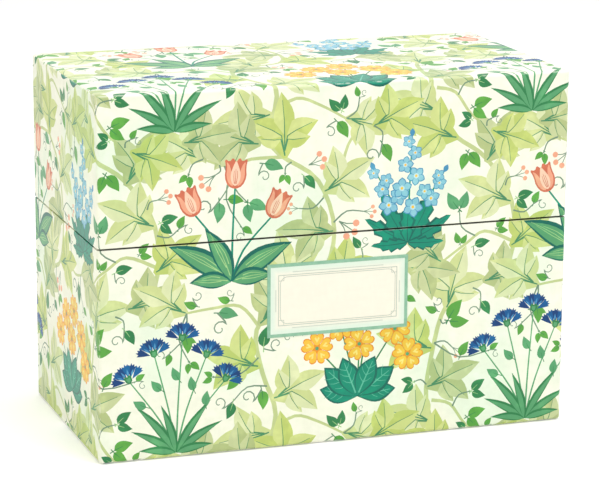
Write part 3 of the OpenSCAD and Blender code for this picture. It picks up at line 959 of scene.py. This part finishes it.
def printed_paper():
    """Satin paper, its inks a little uneven, and rubbed pale at the folds."""
    finish = Finish("printed paper")
    ink = finish.node("ShaderNodeAttribute", {"attribute_name": "ink"}, output="Color")
    bend = finish.node("ShaderNodeAttribute", {"attribute_name": "ink"}, output="Alpha")
    grain = finish.fibres()
    mottle = finish.noise(260, 3)
    tone = finish.between(mottle, 0.3, 0.7, 0.955, 1.0)
    inked = finish.darken(ink, tone * finish.between(grain, 0.35, 0.65, 0.975, 1.0))
    # The inks lie thinner in soft patches, and a cool wash comes and goes behind the pattern
    thin = finish.patches(130, 3, 0.5, 0.72, 0.0, 0.4)
    inked = finish.mix(thin, inked, tint(250, 250, 230), "SOFT_LIGHT")
    inked = finish.mix(finish.patches(24, 2, 0.48, 0.68), inked, tint(242, 253, 249), "MULTIPLY")
    worn = finish.between(bend, 0.05, 0.3, 0.0, 0.5) * finish.patches(420, 4, 0.42, 0.62)
    colour = finish.mix(worn, inked, tint(250, 249, 238))
    return finish.done(
        colour, 0.42 + 0.1 * mottle + 0.2 * worn, grain * 0.6 + mottle * 0.4, 0.012 * MM,
        specular=0.15, Coat_Weight=0.35, Coat_Roughness=0.25,
    )


def greyboard():
    """Grey board with clouds, flecks and layers."""
    finish = Finish("greyboard")
    fleck = finish.noise(700, 5, 0.7)
    cloud = finish.noise(60, 3)
    colour = finish.mix(cloud, tint(132, 127, 117), tint(160, 155, 144))
    colour = finish.mix(finish.between(fleck, 0.55, 0.72), colour, tint(96, 92, 86))
    layers = finish.noise(500, 3, at=finish.stretched(0.2, 0.2, 3))
    height = fleck * 0.6 + layers * 0.4
    return finish.done(colour, 0.85 + 0.1 * fleck, height, 0.06 * MM, specular=0.2)


def stay_tape():
    """Brown paper tape with darker flecks."""
    finish = Finish("stay tape")
    grain = finish.fibres(500)
    colour = finish.mix(grain, tint(182, 142, 96), tint(214, 180, 134))
    colour = finish.mix(finish.patches(900, 3, 0.62, 0.74), colour, tint(140, 104, 66))
    return finish.done(colour, 0.7 + 0.15 * grain, grain, 0.04 * MM, specular=0.3)


def plain_paper(name, light, dark, scale=700.0, laid=0.0):
    """Uncoated paper with soft clouds and fibres, and laid lines if asked for."""
    finish = Finish(name)
    grain = finish.fibres(scale)
    cloud = finish.patches(45, 3, 0.3, 0.7)
    colour = finish.mix(cloud * 0.6 + grain * 0.4, light, dark)
    hair = finish.between(finish.noise(320, 2, at=finish.stretched(0.25, 1, 1)), 0.68, 0.74)
    colour = finish.mix(hair * 0.35, colour, tint(206, 196, 172))
    height = grain * 0.7 + cloud * 0.3
    if laid:
        height = height * 0.8 + (finish.z * laid + finish.y * laid).sine() * 0.1
    return finish.done(colour, 0.68 + 0.14 * grain, height, 0.03 * MM, specular=0.3)


# Ruled frames of a divider's card and of its tab: how far in from the edges, and half the line's width
CARD_FRAME, CARD_FRAME_HALF = 4 * MM, 0.28 * MM
TAB_FRAME, TAB_FRAME_HEAD, TAB_FRAME_HALF = 2.6 * MM, 2.2 * MM, 0.22 * MM


def divider_stock(name, stock, line_colour, section):
    """Tinted card with flecks, and ruled frames on its face and on its tab."""
    finish = Finish(name)
    grain = finish.fibres(600)
    fleck = finish.patches(380, 3, 0.60, 0.70)
    pale = tuple(min(1.0, c * 1.12 + 0.02) for c in stock[:3]) + (1.0,)
    colour = finish.mix(grain, stock, pale)
    colour = finish.mix(fleck * 0.4, colour, line_colour)
    foot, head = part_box(f"card_pack_{section}")
    low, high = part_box(f"divider_{section}")
    tab = (high.x - low.x) / SECTIONS

    def from_frame(x, right, top, bottom):
        """Distance to the outline of a rectangle that is even about x."""
        up = (finish.z - (top + bottom) / 2).size() - (top - bottom) / 2
        return (x.size() - right).most(up).size()

    body = from_frame(finish.x, high.x - CARD_FRAME, head.z - CARD_FRAME, foot.z + CARD_FRAME)
    tab_x = finish.x - (low.x + tab * (section - 0.5))
    tab_line = from_frame(tab_x, tab / 2 - TAB_FRAME, high.z - TAB_FRAME_HEAD, head.z + TAB_FRAME)
    ruled = (body < CARD_FRAME_HALF).most(tab_line < TAB_FRAME_HALF)
    colour = finish.mix(ruled * 0.8, colour, line_colour)
    return finish.done(colour, 0.6 + 0.12 * grain, grain, 0.03 * MM, specular=0.35)


# Lines of a recipe card, in millimetres down from its head: the heading, and the rules below it
HEADING_AT, RULES_FROM, RULES_TO, RULE_PITCH, RULE_W = 13, 20, 96, 7.2, 0.3
CARD_MARGIN = 6 * MM


def card_stock():
    """Ivory card with a coloured heading line and pale rules."""
    finish = Finish("card stock")
    grain = finish.fibres(800)
    cloud = finish.patches(50, 3, 0.3, 0.7)
    colour = finish.mix(cloud * 0.5 + grain * 0.5, tint(252, 250, 240), tint(240, 235, 218))
    _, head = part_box("card_pack_1")
    down = (head.z - finish.z) * (1 / MM)
    wide = finish.x.size() < (head.x - CARD_MARGIN)
    spaced = ((down - RULES_FROM) * (1 / RULE_PITCH)).fraction() * RULE_PITCH
    rules = (spaced < RULE_W) * (down > RULES_FROM) * (down < RULES_TO) * wide
    heading = ((down - HEADING_AT).size() < RULE_W) * wide
    colour = finish.mix(rules * 0.7, colour, tint(150, 196, 178))
    colour = finish.mix(heading * 0.8, colour, tint(226, 128, 106))
    return finish.done(colour, 0.55 + 0.15 * grain, grain, 0.02 * MM, specular=0.35)


UP, AHEAD, REAR = Vector((0, 0, 1)), Vector((0, -1, 0)), Vector((0, 1, 0))


def anywhere(middle):
    return True


def select(piece, way, test):
    """Selects the faces that look one way and whose middle passes a test, in edit mode."""
    bpy.context.tool_settings.mesh_select_mode = (False, False, True)
    shell = bmesh.from_edit_mesh(piece.data)
    for face in shell.faces:
        face.select_set(face.normal.dot(way) > 0.9 and bool(test(face.calc_center_median())))
    shell.select_flush(True)
    bmesh.update_edit_mesh(piece.data)


def start_box(name, low, high):
    """A block between two corners, in edit mode."""
    bpy.ops.object.select_all(action="DESELECT")
    middle, size = (low + high) / 2, high - low
    bpy.ops.mesh.primitive_cube_add(size=1, location=middle, scale=size)
    piece = bpy.context.object
    piece.name = piece.data.name = name
    bpy.ops.object.transform_apply(location=True, rotation=True, scale=True)
    bpy.ops.object.mode_set(mode="EDIT")
    return piece


def pull(piece, way, test, *lengths):
    """Extrudes the faces that pass by each length in turn."""
    select(piece, way, test)
    for length in lengths:
        bpy.ops.mesh.extrude_region_move(TRANSFORM_OT_translate={"value": way * length})


def inner_hinge_strip():
    """The inner hinge strip: up the back wall, over the rim, round the crease and on in the lid."""
    low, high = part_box("inner_hinge_base_leaf")
    lid_leaf_low, lid_leaf_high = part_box("inner_hinge_lid_leaf")
    t = PAPER_T
    face = low.y + t
    over, rise = high.y - face - t, (lid_leaf_low.z - high.z) / 4
    piece = start_box("inner_hinge_strip", low, Vector((high.x, face, high.z - t)))
    pull(piece, UP, anywhere, t)
    pull(piece, REAR, lambda middle: middle.z > high.z - t, over / 2, over / 2, t)
    pull(piece, UP, lambda middle: middle.y > high.y - t, rise, rise, rise, rise, t)
    pull(piece, AHEAD, lambda middle: middle.z > lid_leaf_low.z, over / 2, over / 2, t)
    pull(piece, UP, lambda middle: middle.y < face, lid_leaf_high.z - lid_leaf_low.z - t)
    bpy.ops.mesh.select_all(action="SELECT")
    bpy.ops.mesh.remove_doubles(threshold=SAME_POINT * MM)
    bpy.ops.mesh.normals_make_consistent(inside=False)
    bpy.ops.object.mode_set(mode="OBJECT")
    return piece


# The label's coloured frame, the groove pressed inside it, and the rounding of its edges
LABEL_FRAME, PRESS_W, PRESS_T, LABEL_ROUNDING = 1.2 * MM, 0.12 * MM, 0.03 * MM, 0.05 * MM
# The ruled border from the label's edge, the radius and place of the rounded line inside it, its squares in
# the corners, and the bars outside it with their ends
LABEL_BORDER, LABEL_CORNER, LABEL_LINE = 4.1 * MM, 2.4 * MM, 0.9 * MM
LABEL_SQUARE, LABEL_BAR, LABEL_BAR_END = 1.9 * MM, 1.0 * MM, 5 * MM


def front_label():
    """The label: a slab of paper with a groove pressed inside its frame."""
    low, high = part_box("front_label")
    piece = start_box("label_plate", low, high)
    select(piece, AHEAD, anywhere)
    bpy.ops.mesh.inset(thickness=LABEL_FRAME, depth=0)
    bpy.ops.mesh.inset(thickness=PRESS_W, depth=-PRESS_T)
    bpy.ops.object.mode_set(mode="OBJECT")
    bevel = piece.modifiers.new("rounded edges", "BEVEL")
    bevel.width, bevel.segments = LABEL_ROUNDING, 2
    bevel.limit_method, bevel.angle_limit = "ANGLE", math.radians(60)
    bpy.ops.object.modifier_apply(modifier=bevel.name)
    return piece


def label_paper():
    """The label's print: a sage frame, and a ruled border inside it."""
    finish = Finish("label paper")
    low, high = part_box("front_label")
    middle, half = (low + high) / 2, (high - low) / 2
    across = (finish.x - middle.x).size()
    up = (finish.z - middle.z).size()
    to_edge = (half.x - across).least(half.z - up)
    grain = finish.fibres(800)
    # Distances inward from the ruled border
    in_x, in_z = half.x - LABEL_BORDER - across, half.z - LABEL_BORDER - up
    border = in_x.least(in_z)
    # A line inside it with rounded corners, a small square in each corner, and a bar outside each side
    dx, dz = ((LABEL_CORNER + LABEL_LINE - inward).most(0.0) for inward in (in_x, in_z))
    rounded = ((dx * dx + dz * dz).root() - LABEL_CORNER - 0.3 * MM).size()
    square = (in_x.most(in_z) - LABEL_SQUARE).size()
    ends = (in_x > LABEL_BAR_END).most(in_z > LABEL_BAR_END)
    lines = (border.size() < 0.15 * MM).most(rounded < 0.13 * MM).most((square < 0.11 * MM) * (border > 0.0))
    lines = lines.most(((border + LABEL_BAR).size() < 0.16 * MM) * ends * 0.7)
    field = finish.mix(finish.between(to_edge, 1.6 * MM, 4.6 * MM), tint(227, 241, 226), tint(250, 245, 229))
    colour = finish.mix(lines * 0.9, field, tint(184, 194, 180))
    frame_tone = finish.mix(finish.patches(500, 3, 0.3, 0.7), tint(136, 184, 156), tint(152, 198, 170))
    colour = finish.mix(to_edge < LABEL_FRAME, colour, frame_tone)
    colour = finish.darken(colour, finish.between(grain, 0.35, 0.65, 0.97, 1.0))
    return finish.done(colour, 0.5 + 0.15 * grain, grain, 0.012 * MM, specular=0.4)


def dress(piece, material):
    """Gives a piece, or a CAD node, one material all over."""
    piece.data.materials.clear()
    piece.data.materials.append(material)


def build_covers():
    """The pieces that take the place of CAD nodes."""
    paper = printed_paper()
    lining = plain_paper("lining paper", tint(249, 246, 233), tint(240, 234, 216), laid=9000.0)
    for piece, body, node in ((base_paper(), "base", "base_wrap"), (lid_paper(), "lid", "lid_wrap")):
        dress(piece, paper)
        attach(piece, body)
        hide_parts(node)
    strip = hinge_paper()
    dress(strip, paper)
    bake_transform(strip)
    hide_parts("outer_hinge_base_leaf", "outer_hinge_lid_leaf")
    inner = inner_hinge_strip()
    dress(inner, lining)
    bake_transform(inner)
    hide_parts("inner_hinge_base_leaf", "inner_hinge_lid_leaf")
    label = front_label()
    dress(label, label_paper())
    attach(label, "base")
    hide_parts("front_label")
    return lining


def finish_nodes(lining):
    """Materials of the CAD nodes that show as they are."""
    board, tape, cards = greyboard(), stay_tape(), card_stock()
    shared = {
        "base_tray": board, "lid_tray": board, "neck_board": board,
        "base_corner_stays": tape, "lid_corner_stays": tape, "base_lining": lining, "lid_lining": lining,
        "neck_sleeve": plain_paper("neck paper", tint(250, 247, 235), tint(243, 238, 222)),
        "base_bottom_sheet": plain_paper("underside paper", tint(246, 244, 234), tint(232, 228, 212), 500.0),
    }
    for node, material in shared.items():
        dress(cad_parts[node], material)
    for section, (name, stock, rule) in enumerate(DIVIDERS, 1):
        dress(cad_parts[f"divider_{section}"], divider_stock(name, tint(*stock), tint(*rule), section))
        dress(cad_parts[f"card_pack_{section}"], cards)


def seen(finish):
    """1 for the rays that the camera or a mirror sees, and 0 for those that only light."""
    glossy = finish.node("ShaderNodeLightPath", output="Is Glossy Ray")
    return finish.node("ShaderNodeLightPath", output="Is Camera Ray").most(glossy)


def studio():
    """A pale floor that keeps the box's shadow, and soft light from above and in front."""
    bpy.ops.object.select_all(action="DESELECT")
    bpy.ops.mesh.primitive_plane_add(size=FLOOR_SIZE, location=(0, 0, 0))
    floor = bpy.context.object
    floor.name = "floor"
    finish = Finish("pale floor")
    colour = finish.mix(finish.noise(40, 2), tint(240, 240, 238), tint(244, 244, 242))
    finish.set(finish.shader.inputs["Emission Color"], finish.mix(seen(finish), (0, 0, 0, 1), (1, 1, 1, 1)))
    dress(floor, finish.done(colour, 0.9, Emission_Strength=FLOOR_GLOW, specular=0.0))

    # The world shows white, and lights half as much
    bpy.context.scene.world = bpy.data.worlds.new("studio")
    air = Nodes(bpy.context.scene.world, "Background")
    air.set(air.shader.inputs["Color"], (1, 1, 1, 1))
    air.set(air.shader.inputs["Strength"], WORLD_LIGHT)
    white = air.node("ShaderNodeBackground", inputs={"Color": (1, 1, 1, 1), "Strength": 1.0})
    light = Value(air, air.shader.outputs[0])
    both = air.node("ShaderNodeMixShader", inputs={0: seen(air), 1: light, 2: white})
    air.set(air.tree.nodes["World Output"].inputs["Surface"], both)

    for name, place, size, power, colour in LAMPS:
        lamp = bpy.data.lights.new(name, "AREA")
        lamp.shape, lamp.size, lamp.energy, lamp.color = "SQUARE", size, power, colour
        stand = bpy.data.objects.new(name, lamp)
        bpy.context.scene.collection.objects.link(stand)
        stand.location = place
        stand.rotation_euler = (LAMPS_AIM - Vector(place)).to_track_quat("-Z", "Y").to_euler()


def photo_camera():
    """The photograph's view of the box."""
    camera = bpy.data.cameras.new("camera")
    camera.sensor_width = SENSOR_W
    camera.lens = SENSOR_W * FOCAL_PX / IMAGE_W
    camera.clip_start, camera.clip_end = 0.01, 20
    stand = bpy.data.objects.new("camera", camera)
    bpy.context.scene.collection.objects.link(stand)
    turn = Matrix.Rotation(math.radians(-YAW), 4, "Z") @ Matrix.Rotation(math.radians(90 - PITCH), 4, "X")
    stand.matrix_world = Matrix.Translation(CAMERA_AT) @ turn @ Matrix.Rotation(math.radians(ROLL), 4, "Z")
    bpy.context.scene.camera = stand


# Name, stock and colour of the ruled lines of each section's divider
DIVIDERS = (
    ("divider green", (169, 199, 160), (92, 138, 88)),
    ("divider yellow", (241, 207, 124), (190, 142, 44)),
    ("divider coral", (239, 179, 160), (196, 104, 84)),
    ("divider blue", (169, 207, 224), (82, 138, 172)),
    ("divider teal", (127, 184, 164), (38, 112, 92)),
    ("divider lime", (214, 221, 163), (140, 154, 72)),
)
SECTIONS = len(DIVIDERS)
FLOOR_SIZE, FLOOR_GLOW, WORLD_LIGHT = 12, 0.28, 0.5
# Name, place, size, watts and colour: the lamp on the left is a little warmer
LAMPS = (
    ("top lamp", (0.1, 0.1, 1.5), 1.2, 8.8, (1, 1, 1)),
    ("front lamp", (0.6, -1.05, 1.15), 1.0, 10.6, (1, 1, 1)),
    ("left lamp", (-1.2, -0.4, 0.95), 1.0, 6.2, (1, 0.965, 0.78)),
)
LAMPS_AIM = Vector((0, 0, 0.06))
# The camera's sensor in millimetres, focal length in pixels of the photograph, place, and turn in degrees
SENSOR_W, IMAGE_W, FOCAL_PX = 36, 600, 2714.7
CAMERA_AT = (-0.3092, -0.8986, 0.2885)
YAW, PITCH, ROLL = 19.07, 13.54, 0.33

photo_camera()
finish_nodes(build_covers())
studio()
bpy.context.scene.view_settings.view_transform = "Standard"
